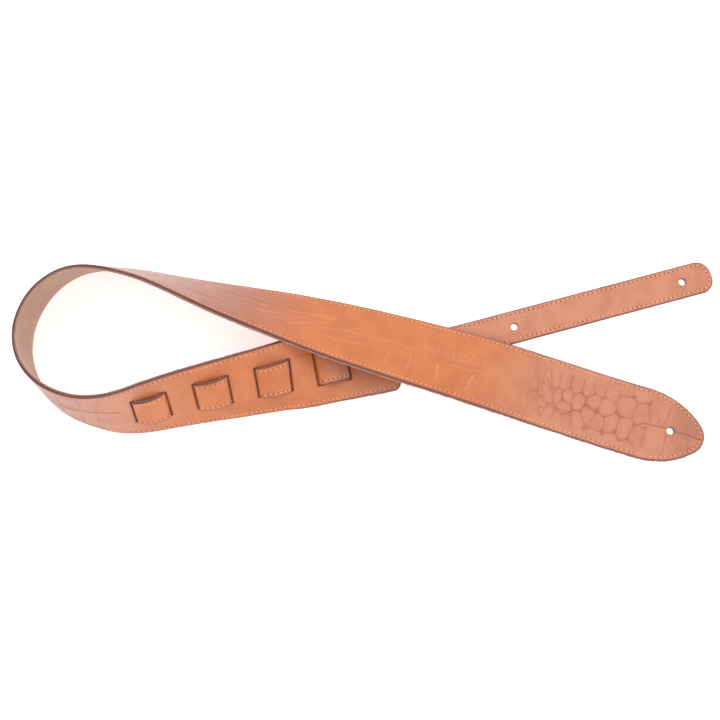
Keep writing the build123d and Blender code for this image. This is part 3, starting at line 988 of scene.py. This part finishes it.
def lamp(name, place, size, power, tint):
    data = bpy.data.lights.new(name, "AREA")
    data.size = size
    data.energy = power
    data.color = tint
    obj = bpy.data.objects.new(name, data)
    bpy.context.scene.collection.objects.link(obj)
    obj.location = place
    away = np.array(place)
    obj.rotation_euler = (
        math.atan2(math.hypot(away[0], away[1]), away[2]),
        0,
        math.atan2(away[1], away[0]) + math.pi / 2,
    )


# ---- the strap -------------------------------------------------------------
def wear(obj, *materials):
    for material in materials:
        obj.data.materials.append(material)


def main():
    make_camera()
    make_studio()
    main_strap, rear_heading = lay_main()
    tail, tail_at = lay_tail(main_strap, rear_heading)

    # The pinkish colour is partly the leather's own tone and partly painted sheen.
    orange = colour(205, 116, 62)
    pinkish = colour(200, 131, 101)
    # This dark colour serves the leather's own blotches and also the painted shade in the
    # creases.
    crease = colour(140, 68, 40)
    face = leather_face("embossed_leather", orange, pinkish, crease, 0.44)
    tail_face = leather_face("smooth_leather", orange, colour(203, 132, 100), crease, 0.46)
    edge = burnished_edge("burnished_edge", EDGE_BROWN, EDGE_DARK)
    raw = burnished_edge("raw_suede_edge", colour(176, 122, 106), colour(98, 56, 56))
    lining = suede("suede_lining", colour(191, 149, 121), colour(166, 120, 95))
    thread = thread_material("waxed_thread", colour(238, 180, 142), colour(214, 140, 102))
    pierced = pierced_hole("stitch_hole", colour(146, 70, 44))
    tail_pierced_dark = pierced_hole("tail_stitch_hole", colour(112, 44, 30))

    main_face = make_main_face(main_strap)
    wear(main_face, face, edge, lining)
    main_lining = make_main_lining(main_strap)
    wear(main_lining, lining, raw, lining)
    seam = main_seam()
    level = MAIN_THICK - STITCH_SUNK
    main_stitches = make_stitches("main_stitches", main_strap, seam, level, 1, 41)
    level = UNDER_STITCH
    main_under = make_stitches("main_under_stitches", main_strap, seam, level, -1, 42)
    level = MAIN_THICK - HOLE_SUNK
    main_holes = make_stitch_holes("main_stitch_holes", main_strap, seam, level, 0.0007)
    wear(main_stitches, thread)
    wear(main_under, thread)
    wear(main_holes, pierced)
    spans = (
        (0.150, 0.420, 1, 420), (0.004, 0.150, 1, 150), (0.002, 0.090, -1, 190),
        (0.090, 0.400, -1, 120), (0.880, 1.006, -1, 90), (0.700, 0.880, -1, 50),
    )
    fuzz = make_fibres("main_loose_fibres", main_strap, main_half, spans, 51)
    wear(fuzz, lining)
    for piece in (main_face, main_lining, main_stitches, main_under, main_holes, fuzz):
        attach(piece, "main_strap")
    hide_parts("main_face")
    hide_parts("main_lining")
    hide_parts("main_needle_thread")
    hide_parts("main_bobbin_thread")

    tail_top = make_tail_ply("tail_leather_face", tail, 1, TAIL_LINING, TAIL_THICK, True)
    wear(tail_top, tail_face, edge, lining)
    tail_low = make_tail_ply("tail_suede_lining", tail, 1.5, 0.0, TAIL_LINING, False)
    wear(tail_low, lining, raw, lining)
    seam = tail_seam(tail)
    level = TAIL_THICK - STITCH_SUNK
    tail_stitches = make_stitches("tail_stitches", tail, seam, level, 1, 61)
    level = UNDER_STITCH
    tail_under = make_stitches("tail_under_stitches", tail, seam, level, -1, 62)
    level = TAIL_THICK - HOLE_SUNK
    tail_pierced = make_stitch_holes("tail_stitch_holes", tail, seam, level, 0.0009)
    wear(tail_stitches, thread)
    wear(tail_under, thread)
    wear(tail_pierced, tail_pierced_dark)
    start = tail.place(tail_at(slot_places()[-1] + SLOT), 0.0, 0.0)
    end = tail.place(tail_at(REAR_FLAT * MAIN_LENGTH) + TAIL_BEND * 0.85, 0.0, 0.0)
    for piece in (tail_top, tail_low, tail_stitches, tail_under, tail_pierced):
        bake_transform(piece)
    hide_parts("tail_face")
    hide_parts("tail_lining")
    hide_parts("tail_needle_thread")
    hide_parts("tail_bobbin_thread")


main()
